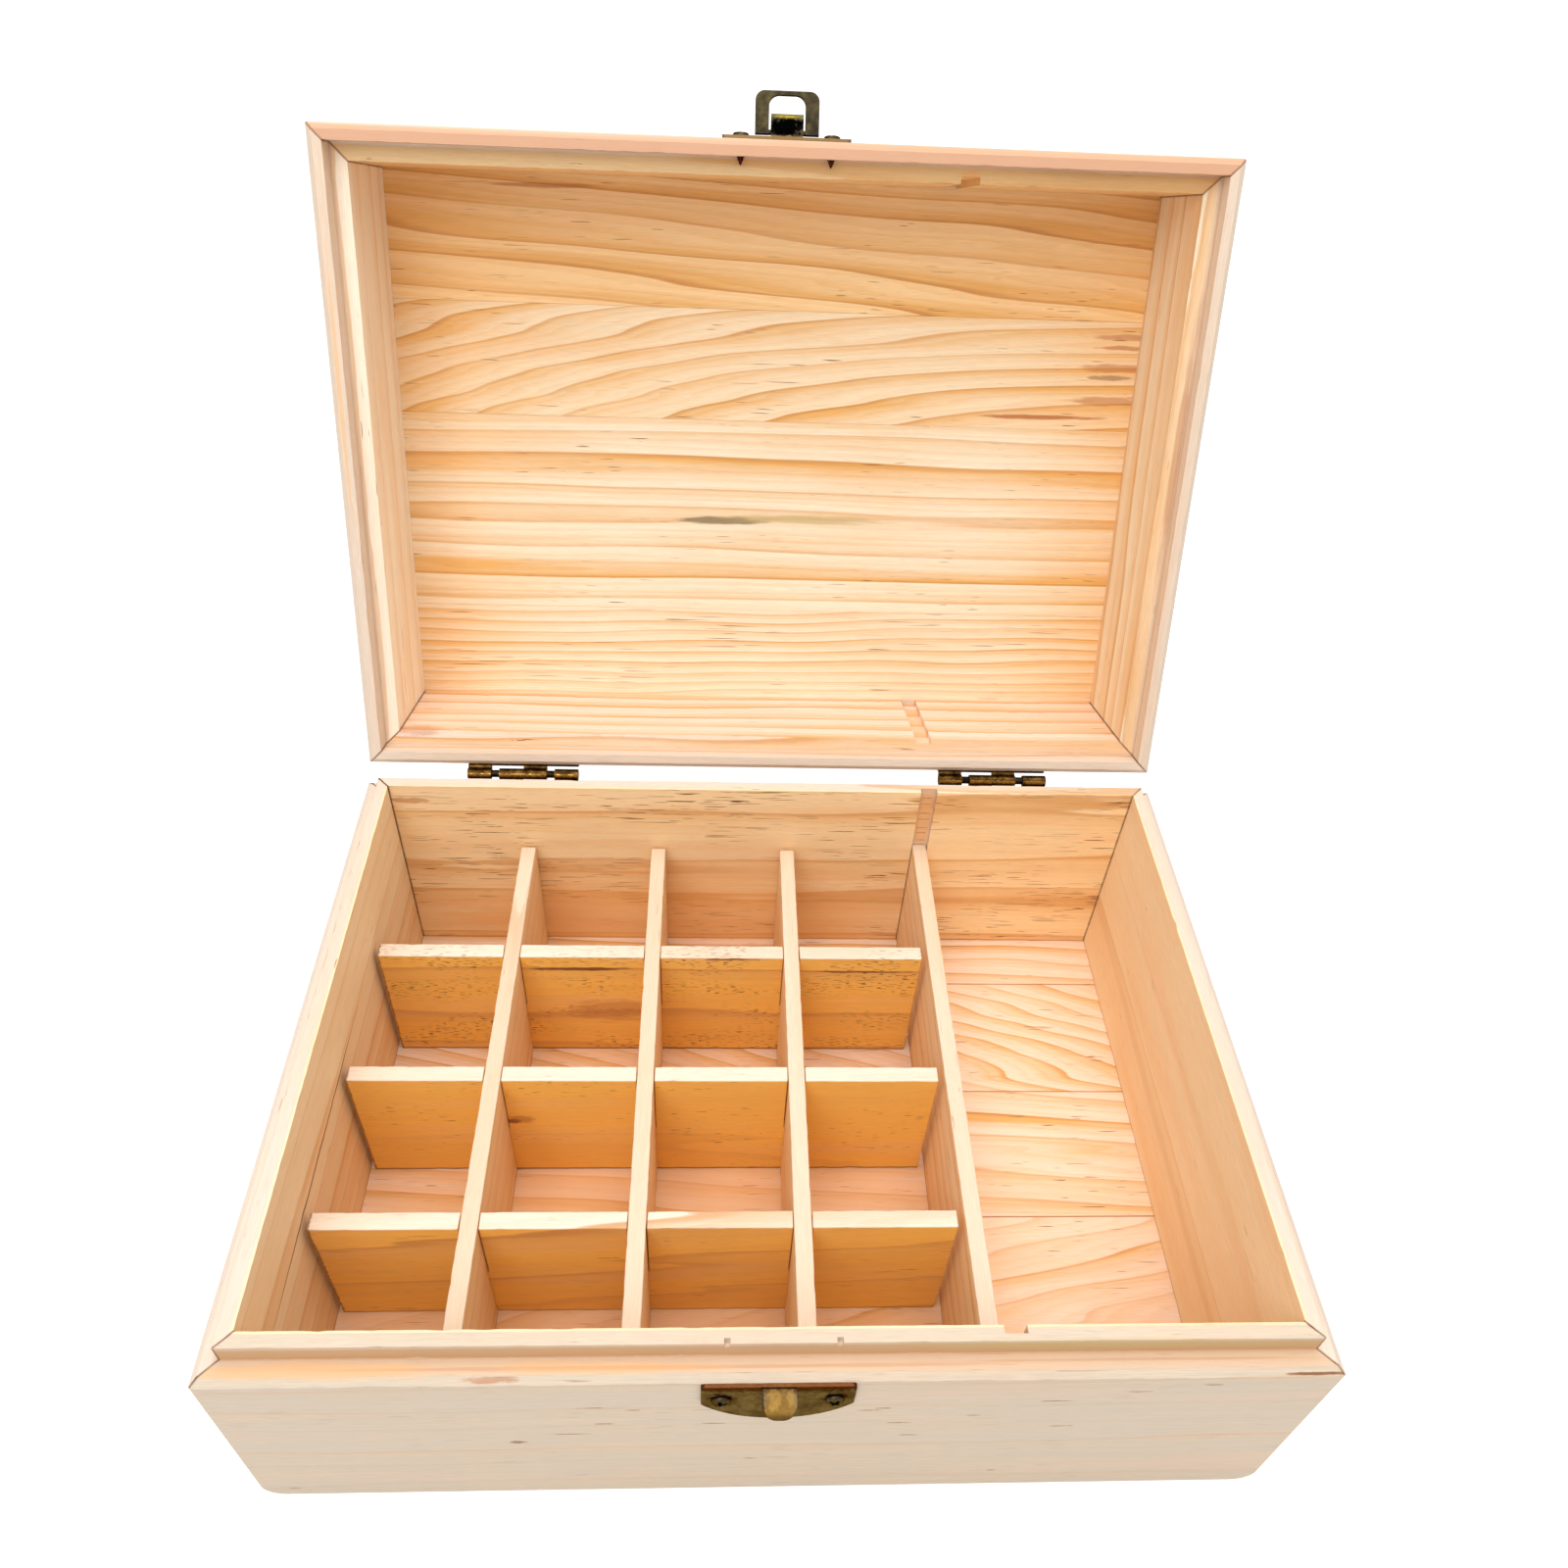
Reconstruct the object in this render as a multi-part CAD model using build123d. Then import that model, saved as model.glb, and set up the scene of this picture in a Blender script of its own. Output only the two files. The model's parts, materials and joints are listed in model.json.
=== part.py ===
from build123d import *
import math
import os

# Wooden storage box: mitred pine walls, a hinged lid that closes over a lip, a lift-out
# divider grid beside one long compartment, and a small hasp at the front.
# Millimetres. +X is right, +Y is back, +Z is up. The origin is the centre of the underside.
# The lid is built shut and then turned open about its hinges, which is the rest position.

# Case
BOX_W = 240.0
BOX_D = 174.0
WALL_T = 8.5
BASE_H = 68.5
LID_H = 45.0
PANEL_T = 3.5
PANEL_SEAT = 2.0
EDGE_CHAMFER = 1.6
EDGE_ROUND = 0.8
SIDE_ROUND = 5.5

# Lip on the base and rabbet in the lid
LEDGE_W = 5.1
LIP_H = 5.7
LIP_PLAY = 1.0
LIP_HEADROOM = 0.2
LID_GAP = 0.15

# Edge-glued boards, given by the places of their joint lines
FLOOR_BOARD_W = 40.2
FLOOR_BOARDS = 5
LID_JOINTS = (-43.7, -11.5, 48.5)

# Dividers
DIVIDER_T = 4.4
DIVIDER_H = 46.3
DIVIDER_END_ROUND = 1.5
LONG_DIVIDER_X = 49.2
GROOVE_DEPTH = 1.8
GROOVE_PLAY = 0.25
GRID_END_PLAY = 1.3
GRID_LONG_DIVIDER_PLAY = 1.8
GRID_DEPTH_PLAY = 0.7
LENGTHWISE_PITCH = 39.9
LENGTHWISE_MID_X = -32.5
CROSS_PITCH = 40.2
CROSS_MID_Y = -3.0
GRID_COUNT = 3
LAP_SIDE_PLAY = 0.15
LAP_DEPTH_PLAY = 0.2

# Hinges
OPEN_ANGLE = 110.5
HINGE_OFFSET = 2.7
HINGE_RISE = 0.4
HINGE_LEFT_INSET = 46.25
HINGE_RIGHT_INSET = 49.3
KNUCKLE_R = 1.65
KNUCKLE_W = 7.1
KNUCKLE_PLAY = 0.1
PIN_GAP = 2.4
PIN_R = 1.1
PIN_PLAY = 0.05
LEAF_T = 0.9
LEAF_H = 10.5
LEAF_CORNER = 1.5
NOTCH_CLEAR = 0.3
HINGE_SCREW_SPACING = 21.0
HINGE_SCREW_DROP = 7.6

# Screws
SCREW_R = 1.1
SCREW_HEAD_R = 2.1
SCREW_HEAD_H = 0.9
SCREW_TIP_L = 2.2
SCREW_POKE = 2.1
HOLE_PLAY = 0.1

# Hasp: plate and rolled tab on the lid, loop in the tab, keeper with its bill on the base
PLATE_T = 0.8
PLATE_CORNER = 1.0
LATCH_X = 0.5
LATCH_PLATE_W = 33.0
LATCH_PLATE_END_H = 6.0
LATCH_PLATE_MID_H = 13.0
LATCH_SCREW_RISE = 2.8
LATCH_SCREW_SPACING = 23.4
TAB_W = 8.2
TAB_OUT = 6.0
LOOP_BAR_R = 0.65
LOOP_BAR_PLAY = 0.15
LOOP_PLATE_GAP = 0.25
LOOP_W = 16.3
LOOP_L = 10.6
LOOP_T = 1.0
LOOP_WINDOW_W = 9.3
LOOP_END_W = 1.0
LOOP_CORNER = 2.4
LOOP_WINDOW_CORNER = 2.6
LOOP_LEAN = 15.0
KEEPER_X = -0.3
KEEPER_W = 32.4
KEEPER_END_H = 9.2
KEEPER_MID_H = 17.5
KEEPER_SCREW_DROP = 7.4
KEEPER_SCREW_SPACING = 24.0
BILL_W = 7.2
BILL_DROP = 0.6
BILL_STRAIGHT = 4.9
BILL_BEND_R = 1.6
BILL_BEND_ANGLE = 65.0
BILL_CORNER = 3.0

# Places worked out from the sizes above
INNER_W = BOX_W - 2 * WALL_T
INNER_D = BOX_D - 2 * WALL_T
SEAT_W = INNER_W + 2 * PANEL_SEAT
SEAT_D = INNER_D + 2 * PANEL_SEAT
RIM_W = LEDGE_W - LIP_PLAY
RABBET_D = LIP_H + LIP_HEADROOM
RIM_Z = BASE_H + LID_GAP
LID_TOP = RIM_Z + LID_H
GROOVE_W = DIVIDER_T + 2 * GROOVE_PLAY
HINGE_CENTRES = (HINGE_LEFT_INSET - BOX_W / 2, BOX_W / 2 - HINGE_RIGHT_INSET)
HINGE_W = 4 * KNUCKLE_W + 2 * PIN_GAP + KNUCKLE_PLAY
HINGE_AXIS = Axis((0, BOX_D / 2 + HINGE_OFFSET, BASE_H + HINGE_RISE), (1, 0, 0))
SCREW_L = PLATE_T + RIM_W + SCREW_POKE
LATCH_EDGE_Z = RIM_Z + EDGE_CHAMFER
TAB_GAP = 2 * (LOOP_BAR_R + LOOP_BAR_PLAY)
LOOP_OUT = PLATE_T + LOOP_PLATE_GAP + LOOP_BAR_R
LOOP_Z = LATCH_EDGE_Z + PLATE_T + TAB_GAP / 2
KEEPER_TOP_Z = BASE_H - EDGE_CHAMFER


def board(x_size, y_size, z_size, x=0, y=0, z=0):
    """A rectangular block, centred in x and y on the place given, standing on z."""
    return Pos(x, y, z + z_size / 2) * Box(x_size, y_size, z_size)


def case_ring(height):
    """Four walls in one piece, open side up, with the panel's seat cut round the bottom.

    The long corners under the left and right walls are well rounded, all others barely."""
    outside = board(BOX_W, BOX_D, height)
    under = outside.faces().sort_by(Axis.Z)[0].edges().filter_by(Axis.Y)
    outside = chamfer(fillet(under, SIDE_ROUND).faces().sort_by(Axis.Z)[-1].edges(), EDGE_CHAMFER)
    ends = outside.faces().sort_by(Axis.Y)
    outline = (ends[0].edges() + ends[-1].edges()).filter_by_position(
        Axis.Z, 0, height - EDGE_CHAMFER, inclusive=(True, False)
    )
    outside = fillet(outline, EDGE_ROUND)
    return outside - board(INNER_W, INNER_D, height) - board(SEAT_W, SEAT_D, PANEL_T)


def mitred_walls(ring, height):
    """Cuts a ring of four walls along its mitres."""
    reach = 2 * WALL_T
    x, y = BOX_W / 2 + WALL_T, BOX_D / 2 + WALL_T
    wedges = {
        "front": ((-x, -y), (x, -y), (x - reach, reach - y), (reach - x, reach - y)),
        "back": ((x, y), (-x, y), (reach - x, y - reach), (x - reach, y - reach)),
        "left": ((-x, y), (-x, -y), (reach - x, reach - y), (reach - x, y - reach)),
        "right": ((x, -y), (x, y), (x - reach, y - reach), (x - reach, reach - y)),
    }
    return {
        side: ring & extrude(Polygon(*corners, align=None), height)
        for side, corners in wedges.items()
    }


def base_walls():
    """The base's walls: a lip stands on all four, and the long divider's grooves run down."""
    height = BASE_H + LIP_H
    lip = board(BOX_W - 2 * LEDGE_W, BOX_D - 2 * LEDGE_W, LIP_H, z=BASE_H)
    ring = case_ring(BASE_H) + (lip - board(INNER_W, INNER_D, LIP_H, z=BASE_H))
    groove_y = INNER_D + 2 * GROOVE_DEPTH
    ring -= board(GROOVE_W, groove_y, height - PANEL_T, LONG_DIVIDER_X, 0, PANEL_T)
    return mitred_walls(ring, height)


def lid_walls():
    """The lid's walls, shut: a rabbet that takes the lip, and the same grooves above it."""
    ring = Pos(0, 0, LID_TOP) * Rot(180, 0, 0) * case_ring(LID_H)
    rabbet_w, rabbet_d = BOX_W - 2 * RIM_W, BOX_D - 2 * RIM_W
    ring -= board(rabbet_w, rabbet_d, RABBET_D, z=RIM_Z)
    groove_h = LID_H - PANEL_T - RABBET_D
    groove_y = INNER_D + 2 * GROOVE_DEPTH
    ring -= board(GROOVE_W, groove_y, groove_h, LONG_DIVIDER_X, 0, RIM_Z + RABBET_D)
    return mitred_walls(ring, LID_TOP)


def panel_boards(joints, z):
    """Boards lying side by side front to back, glued at the joints."""
    edges = [-SEAT_D / 2, *joints, SEAT_D / 2]
    return [
        board(SEAT_W, far - near, PANEL_T, 0, (near + far) / 2, z)
        for near, far in zip(edges, edges[1:])
    ]


def floor_joints():
    """The floor's joint lines, evenly spaced about its middle."""
    count = FLOOR_BOARDS - 1
    return [(i - (count - 1) / 2) * FLOOR_BOARD_W for i in range(count)]


def grid_places(middle, pitch):
    """Centres of the dividers that run one way."""
    return [middle + (i - (GRID_COUNT - 1) / 2) * pitch for i in range(GRID_COUNT)]


def cross_dividers(lengthwise_x, cross_y):
    """Run from the left wall to the long divider, slotted from the top."""
    left = -INNER_W / 2 + GRID_END_PLAY
    right = LONG_DIVIDER_X - DIVIDER_T / 2 - GRID_LONG_DIVIDER_PLAY
    slot_w = DIVIDER_T + 2 * LAP_SIDE_PLAY
    slot_h = DIVIDER_H / 2 + LAP_DEPTH_PLAY
    slot_z = PANEL_T + DIVIDER_H - slot_h
    pieces = []
    for y in cross_y:
        piece = board(right - left, DIVIDER_T, DIVIDER_H, (left + right) / 2, y, PANEL_T)
        for x in lengthwise_x:
            piece -= board(slot_w, 2 * DIVIDER_T, slot_h, x, y, slot_z)
        pieces.append(piece)
    return pieces


def lengthwise_dividers(lengthwise_x, cross_y):
    """Run front to back between the walls, slotted from below, over the cross dividers."""
    length = INNER_D - 2 * GRID_DEPTH_PLAY
    slot_w = DIVIDER_T + 2 * LAP_SIDE_PLAY
    slot_h = DIVIDER_H / 2 + LAP_DEPTH_PLAY
    pieces = []
    for x in lengthwise_x:
        piece = board(DIVIDER_T, length, DIVIDER_H, x, 0, PANEL_T)
        top_ends = piece.edges().filter_by(Axis.X).group_by(Axis.Z)[-1]
        piece = fillet(top_ends, DIVIDER_END_ROUND)
        for y in cross_y:
            piece -= board(2 * DIVIDER_T, slot_w, slot_h, x, y, PANEL_T)
        pieces.append(piece)
    return pieces


def long_divider():
    """Stands in the grooves of the front and back walls."""
    length = INNER_D + 2 * (GROOVE_DEPTH - GROOVE_PLAY)
    return board(DIVIDER_T, length, DIVIDER_H, LONG_DIVIDER_X, 0, PANEL_T)


def screw(tip_l=0):
    """Head on z = 0 and above, shank below, with a point where it comes out of the wood."""
    profile = Polyline(
        (0, SCREW_HEAD_H),
        (SCREW_HEAD_R, SCREW_HEAD_H),
        (SCREW_HEAD_R, 0),
        (SCREW_R, 0),
        (SCREW_R, tip_l - SCREW_L),
        (0, -SCREW_L),
        (0, SCREW_HEAD_H),
    )
    return revolve(Plane.XZ * make_face(profile), Axis.Z)


def pilot_hole():
    """The space that a screw needs in the wood, eight-sided because it is never seen."""
    outline = RegularPolygon(SCREW_R + HOLE_PLAY, 8, major_radius=False)
    return extrude(outline, -SCREW_L - HOLE_PLAY)


def point_slot(x, z):
    """Slot that a latch screw's point, at z, wears down the outside of the lip."""
    depth = SCREW_POKE - LIP_PLAY
    half_w = SCREW_R * depth / SCREW_TIP_L + HOLE_PLAY
    bottom = z - half_w
    return board(
        2 * half_w, 2 * (depth + HOLE_PLAY), BASE_H + LIP_H - bottom,
        x, LEDGE_W - BOX_D / 2, bottom,
    )


def screw_places(centre_x, spacing, y, z, facing):
    """Two screw places in line with the axis X, heads facing front (-1) or back (1)."""
    return [
        Pos(centre_x + side * spacing / 2, y, z) * Rot(-90 * facing, 0, 0)
        for side in (-1, 1)
    ]


def hinge_leaf(first_knuckle, screws_at):
    """One leaf seen from its barrel's axis: the plate hangs below, two knuckles are rolled."""
    plate_y = LEAF_T / 2 - HINGE_OFFSET
    neck_z = LEAF_T / 2 - KNUCKLE_R
    plate_top = -KNUCKLE_R - NOTCH_CLEAR
    plate = board(HINGE_W, LEAF_T, LEAF_H + plate_top, HINGE_W / 2, plate_y, -LEAF_H)
    low_corners = plate.edges().filter_by(Axis.Y).group_by(Axis.Z)[0]
    leaf = fillet(low_corners, LEAF_CORNER)
    path = FilletPolyline(
        (plate_y, plate_top - LEAF_T), (plate_y, neck_z), (0, neck_z), radius=LEAF_T
    )
    neck = trace(path, LEAF_T)
    rolled = neck + Circle(KNUCKLE_R) - Circle(PIN_R + PIN_PLAY)
    for i in range(2):
        start = first_knuckle + i * (2 * KNUCKLE_W + PIN_GAP + KNUCKLE_PLAY)
        leaf += Pos(start, 0, 0) * extrude(Plane.YZ * rolled, KNUCKLE_W)
    for x in screws_at:
        hole = Cylinder(SCREW_R + HOLE_PLAY, 4 * LEAF_T)
        leaf -= Pos(x, plate_y, -HINGE_SCREW_DROP) * Rot(90, 0, 0) * hole
    return leaf


def hinge(centre_x):
    """Base leaf, lid leaf and pin of one hinge, shut, in their places."""
    axis = HINGE_AXIS.position
    start = Pos(centre_x - HINGE_W / 2, axis.Y, axis.Z)
    screws_at = [(HINGE_W + side * HINGE_SCREW_SPACING) / 2 for side in (-1, 1)]
    lid_leaf = mirror(hinge_leaf(0, screws_at), Plane.XY)
    base_leaf = hinge_leaf(KNUCKLE_W + PIN_GAP, screws_at)
    pin = Pos(HINGE_W / 2, 0, 0) * Rot(0, 90, 0) * Cylinder(PIN_R, HINGE_W)
    return start * base_leaf, start * lid_leaf, start * pin


def half_moon_plate(width, end_h, mid_h, screw_rise, screw_spacing):
    """Plate with its straight edge on z = 0 and its back on y = 0, curved above."""
    half = width / 2
    outline = make_face([
        Polyline((-half, end_h), (-half, 0), (half, 0), (half, end_h)),
        ThreePointArc((half, end_h), (0, mid_h), (-half, end_h)),
    ])
    plate = extrude(Plane.XZ * outline, PLATE_T)
    straight_corners = plate.edges().filter_by(Axis.Y).group_by(Axis.Z)[0]
    plate = fillet(straight_corners, PLATE_CORNER)
    for side in (-1, 1):
        hole = Rot(90, 0, 0) * Cylinder(SCREW_R + HOLE_PLAY, 4 * PLATE_T)
        plate -= Pos(side * screw_spacing / 2, 0, screw_rise) * hole
    return plate


def latch_plate():
    """Screwed to the lid above the rim; its tab is rolled round the loop's bar."""
    plate = half_moon_plate(
        LATCH_PLATE_W, LATCH_PLATE_END_H, LATCH_PLATE_MID_H,
        LATCH_SCREW_RISE, LATCH_SCREW_SPACING,
    )
    mid = PLATE_T / 2
    roll_r = (TAB_GAP + PLATE_T) / 2
    bend_y = mid + roll_r - TAB_OUT
    path = [
        Line((-mid, mid), (bend_y, mid)),
        ThreePointArc(
            (bend_y, mid), (bend_y - roll_r, mid + roll_r), (bend_y, mid + 2 * roll_r)
        ),
        Line((bend_y, mid + 2 * roll_r), (-LOOP_OUT, mid + 2 * roll_r)),
    ]
    tab = extrude(Plane.YZ * trace(path, PLATE_T), TAB_W)
    return Pos(LATCH_X, -BOX_D / 2, LATCH_EDGE_Z) * (plate + Pos(-TAB_W / 2, 0, 0) * tab)


def latch_loop():
    """Flat loop whose bar lies in the tab, pointing straight out from the lid."""
    far = LOOP_BAR_R - LOOP_L
    outline = Pos(0, far / 2 + LOOP_BAR_R / 2) * Rectangle(LOOP_W, LOOP_L)
    outline = fillet(outline.vertices().group_by(Axis.Y)[0], LOOP_CORNER)
    window_l = LOOP_L - LOOP_END_W
    window = Pos(0, LOOP_BAR_R - window_l / 2) * Rectangle(LOOP_WINDOW_W, window_l)
    window = fillet(window.vertices().group_by(Axis.Y)[0], LOOP_WINDOW_CORNER)
    loop = Pos(0, 0, -LOOP_T / 2) * extrude(outline - window, LOOP_T)
    feet = loop.edges().filter_by(Axis.X).group_by(Axis.Y)[-1]
    loop = fillet(feet, LOOP_T / 2 - LOOP_BAR_PLAY)
    loop += Rot(0, 90, 0) * Cylinder(LOOP_BAR_R, LOOP_WINDOW_W)
    return Pos(LATCH_X, -BOX_D / 2 - LOOP_OUT, LOOP_Z) * Rot(-LOOP_LEAN, 0, 0) * loop


def keeper():
    """Screwed to the base below the ledge; the loop snaps under its curved bill."""
    plate = half_moon_plate(
        KEEPER_W, KEEPER_END_H, KEEPER_MID_H, KEEPER_SCREW_DROP, KEEPER_SCREW_SPACING
    )
    mid = PLATE_T / 2
    top = -BILL_DROP - mid
    bend = math.radians(BILL_BEND_ANGLE)
    turn = [
        (-BILL_STRAIGHT - BILL_BEND_R * math.sin(part), top - BILL_BEND_R * (1 - math.cos(part)))
        for part in (bend / 2, bend)
    ]
    path = [
        Line((-mid, top), (-BILL_STRAIGHT, top)),
        ThreePointArc((-BILL_STRAIGHT, top), *turn),
    ]
    bill = Pos(-BILL_W / 2, 0, 0) * extrude(Plane.YZ * trace(path, PLATE_T), BILL_W)
    reach = BILL_STRAIGHT + BILL_BEND_R + PLATE_T
    tip_y = -BILL_STRAIGHT - (BILL_BEND_R + mid) * math.sin(bend)
    plan = Pos(0, tip_y / 2) * Rectangle(BILL_W, -tip_y)
    plan = fillet(plan.vertices().group_by(Axis.Y)[0], BILL_CORNER)
    bill &= Pos(0, 0, top - reach) * extrude(plan, 2 * reach)
    return Pos(KEEPER_X, -BOX_D / 2, KEEPER_TOP_Z) * (Rot(0, 180, 0) * plate + bill)


def open_lid(shape):
    """Turns a piece of the shut lid to its rest position."""
    return shape.rotate(HINGE_AXIS, -OPEN_ANGLE)


def build():
    """Every piece by the name of its node, at rest: lid open, dividers in the base."""
    base = {f"base_{side}_wall": wall for side, wall in base_walls().items()}
    lid = {f"lid_{side}_wall": wall for side, wall in lid_walls().items()}

    latch_z = LATCH_EDGE_Z + LATCH_SCREW_RISE
    keeper_z = KEEPER_TOP_Z - KEEPER_SCREW_DROP
    plate_face = -BOX_D / 2 - PLATE_T
    leaf_face = BOX_D / 2 + LEAF_T
    axis_z = HINGE_AXIS.position.Z
    latch_screws = screw_places(LATCH_X, LATCH_SCREW_SPACING, plate_face, latch_z, -1)
    keeper_screws = screw_places(KEEPER_X, KEEPER_SCREW_SPACING, plate_face, keeper_z, -1)
    base_hinge_screws, lid_hinge_screws = [], []
    for x in HINGE_CENTRES:
        for places, z in (
            (base_hinge_screws, axis_z - HINGE_SCREW_DROP),
            (lid_hinge_screws, axis_z + HINGE_SCREW_DROP),
        ):
            places += screw_places(x, HINGE_SCREW_SPACING, leaf_face, z, 1)

    for walls, name, places in (
        (base, "base_front_wall", keeper_screws),
        (base, "base_back_wall", base_hinge_screws),
        (lid, "lid_front_wall", latch_screws),
        (lid, "lid_back_wall", lid_hinge_screws),
    ):
        for place in places:
            walls[name] -= place * pilot_hole()
    for place in latch_screws:
        base["base_front_wall"] -= point_slot(place.position.X, latch_z)

    for i, piece in enumerate(panel_boards(floor_joints(), 0), 1):
        base[f"floor_board_{i}"] = piece
    for i, piece in enumerate(panel_boards(LID_JOINTS, LID_TOP - PANEL_T), 1):
        lid[f"lid_board_{i}"] = piece

    lengthwise_x = grid_places(LENGTHWISE_MID_X, LENGTHWISE_PITCH)
    cross_y = grid_places(CROSS_MID_Y, CROSS_PITCH)
    base["long_divider"] = long_divider()
    for i, piece in enumerate(cross_dividers(lengthwise_x, cross_y), 1):
        base[f"cross_divider_{i}"] = piece
    for i, piece in enumerate(lengthwise_dividers(lengthwise_x, cross_y), 1):
        base[f"lengthwise_divider_{i}"] = piece

    for side, x in zip(("left", "right"), HINGE_CENTRES):
        base_leaf, lid_leaf, pin = hinge(x)
        base[f"hinge_{side}_base_leaf"] = base_leaf
        base[f"hinge_{side}_pin"] = pin
        lid[f"hinge_{side}_lid_leaf"] = lid_leaf

    base["keeper_plate"] = keeper()
    lid["latch_plate"] = latch_plate()
    lid["latch_loop"] = latch_loop()
    base["keeper_screws"] = [place * screw() for place in keeper_screws]
    base["hinge_base_screws"] = [place * screw() for place in base_hinge_screws]
    lid["latch_screws"] = [place * screw(SCREW_TIP_L) for place in latch_screws]
    lid["hinge_lid_screws"] = [place * screw() for place in lid_hinge_screws]

    nodes = {}
    for name, piece in {**base, **lid}.items():
        pieces = piece if isinstance(piece, list) else [piece]
        if name in lid:
            pieces = [open_lid(item) for item in pieces]
        nodes[name] = Compound(pieces) if len(pieces) > 1 else pieces[0]
    return nodes


os.makedirs("parts", exist_ok=True)
for node_name, node in build().items():
    export_step(node, f"parts/{node_name}.step")
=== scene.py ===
import json
import math

import bmesh
import bpy
from mathutils import Matrix, Vector, noise


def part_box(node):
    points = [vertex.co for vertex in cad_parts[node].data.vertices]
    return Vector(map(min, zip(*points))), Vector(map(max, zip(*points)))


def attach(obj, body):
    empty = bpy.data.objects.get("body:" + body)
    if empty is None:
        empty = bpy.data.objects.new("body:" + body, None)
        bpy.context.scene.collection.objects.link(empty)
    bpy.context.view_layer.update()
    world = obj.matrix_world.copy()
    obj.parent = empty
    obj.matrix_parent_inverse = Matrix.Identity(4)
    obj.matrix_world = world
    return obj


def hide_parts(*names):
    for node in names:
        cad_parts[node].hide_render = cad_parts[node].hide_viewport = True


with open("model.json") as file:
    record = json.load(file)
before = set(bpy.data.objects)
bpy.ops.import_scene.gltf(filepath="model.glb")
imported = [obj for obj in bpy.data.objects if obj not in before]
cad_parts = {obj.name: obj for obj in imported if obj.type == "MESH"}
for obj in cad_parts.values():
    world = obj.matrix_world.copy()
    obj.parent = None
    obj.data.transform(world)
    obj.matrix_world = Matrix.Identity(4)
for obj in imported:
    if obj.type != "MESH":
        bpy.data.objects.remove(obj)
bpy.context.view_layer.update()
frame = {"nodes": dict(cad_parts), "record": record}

nodes = frame["nodes"]
bodies = frame["record"]["behaviour"]["bodies"]
body_of = {node: body for body, names in bodies.items() for node in names}


# Camera
# Stands before the open box at arm's length and looks down over its front edge, turned a
# little to the right and tipped a little anticlockwise, as a hand-held shot is.
FRAME_PIXELS = 1600
FOCAL_PIXELS = 1272.97
CENTRE_PIXEL = (794.75, 771.01)
EYE = Vector((-0.0157, -0.1848, 0.3381))
PITCH = math.radians(-43.361)
YAW = math.radians(4.090)
ROLL = math.radians(3.657)

look = Vector((math.sin(YAW) * math.cos(PITCH), math.cos(YAW) * math.cos(PITCH), math.sin(PITCH)))
level = Vector((math.cos(YAW), -math.sin(YAW), 0))
raised = level.cross(look)
right = math.cos(ROLL) * level + math.sin(ROLL) * raised
up = math.cos(ROLL) * raised - math.sin(ROLL) * level
camera = bpy.data.objects.new("photo_camera", bpy.data.cameras.new("photo_camera"))
camera.data.sensor_width = 36
camera.data.lens = camera.data.sensor_width * FOCAL_PIXELS / FRAME_PIXELS
camera.data.shift_x = 0.5 - CENTRE_PIXEL[0] / FRAME_PIXELS
camera.data.shift_y = CENTRE_PIXEL[1] / FRAME_PIXELS - 0.5
camera.data.clip_start = 0.01
camera.matrix_world = Matrix.Translation(EYE) @ Matrix((right, up, -look)).transposed().to_4x4()
bpy.context.scene.collection.objects.link(camera)
bpy.context.scene.camera = camera
bpy.context.scene.view_settings.view_transform = "Standard"


# Floor and light
# A plain white sheet under the box, and two big soft lights, one overhead and one to the
# front left. What is seen of the sheet and the room is lifted to white.
WHITE = (1, 1, 1, 1)
SHEET_RADIUS = 4.0
SHEET_SIDES = 96
SHEET_WHITE = (0.7, 0.7, 0.7, 1)
SHEET_LIFT = 0.6
OVERHEAD = {"place": (0.08, 0.1, 1.1), "side": 0.9, "watts": 6.5}
FRONT = {"place": (-0.35, -0.75, 1.15), "side": 0.8, "watts": 7.6}
SKY = 0.64


class Tone:
    """A socket in a shader's nodes, on which Python's sums add the Math nodes."""

    def __init__(self, tree, socket=None):
        self.tree = tree
        self.socket = socket

    def node(self, kind, settings=None, sockets=None, output=0):
        """Adds a node: first its settings, then the values or links of its sockets."""
        made = self.tree.nodes.new("ShaderNode" + kind)
        for name, value in (settings or {}).items():
            setattr(made, name, value)
        for name, value in (sockets or {}).items():
            if isinstance(value, Tone):
                self.tree.links.new(value.socket, made.inputs[name])
            else:
                made.inputs[name].default_value = value
        return Tone(self.tree, made.outputs[output])

    def math(self, operation, *values):
        return self.node("Math", {"operation": operation}, dict(enumerate(values)))

    def vector(self, operation, *values, output=0):
        return self.node("VectorMath", {"operation": operation}, dict(enumerate(values)), output)

    def mix(self, first, second):
        """The first colour where this is 0, the second where it is 1."""
        colours = {0: self, 6: first, 7: second}
        return self.node("Mix", {"data_type": "RGBA", "clamp_factor": True}, colours, 2)

    def between(self, low, high):
        """0 below low, 1 above high and a smooth step between them."""
        limits = {"Value": self, "From Min": low, "From Max": high}
        return self.node("MapRange", {"interpolation_type": "SMOOTHSTEP"}, limits)

    def __add__(self, other):
        return self.math("ADD", self, other)

    def __radd__(self, other):
        return self.math("ADD", other, self)

    def __sub__(self, other):
        return self.math("SUBTRACT", self, other)

    def __rsub__(self, other):
        return self.math("SUBTRACT", other, self)

    def __mul__(self, other):
        return self.math("MULTIPLY", self, other)

    def __rmul__(self, other):
        return self.math("MULTIPLY", other, self)

    def __truediv__(self, other):
        return self.math("DIVIDE", self, other)

    def __rtruediv__(self, other):
        return self.math("DIVIDE", other, self)


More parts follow.
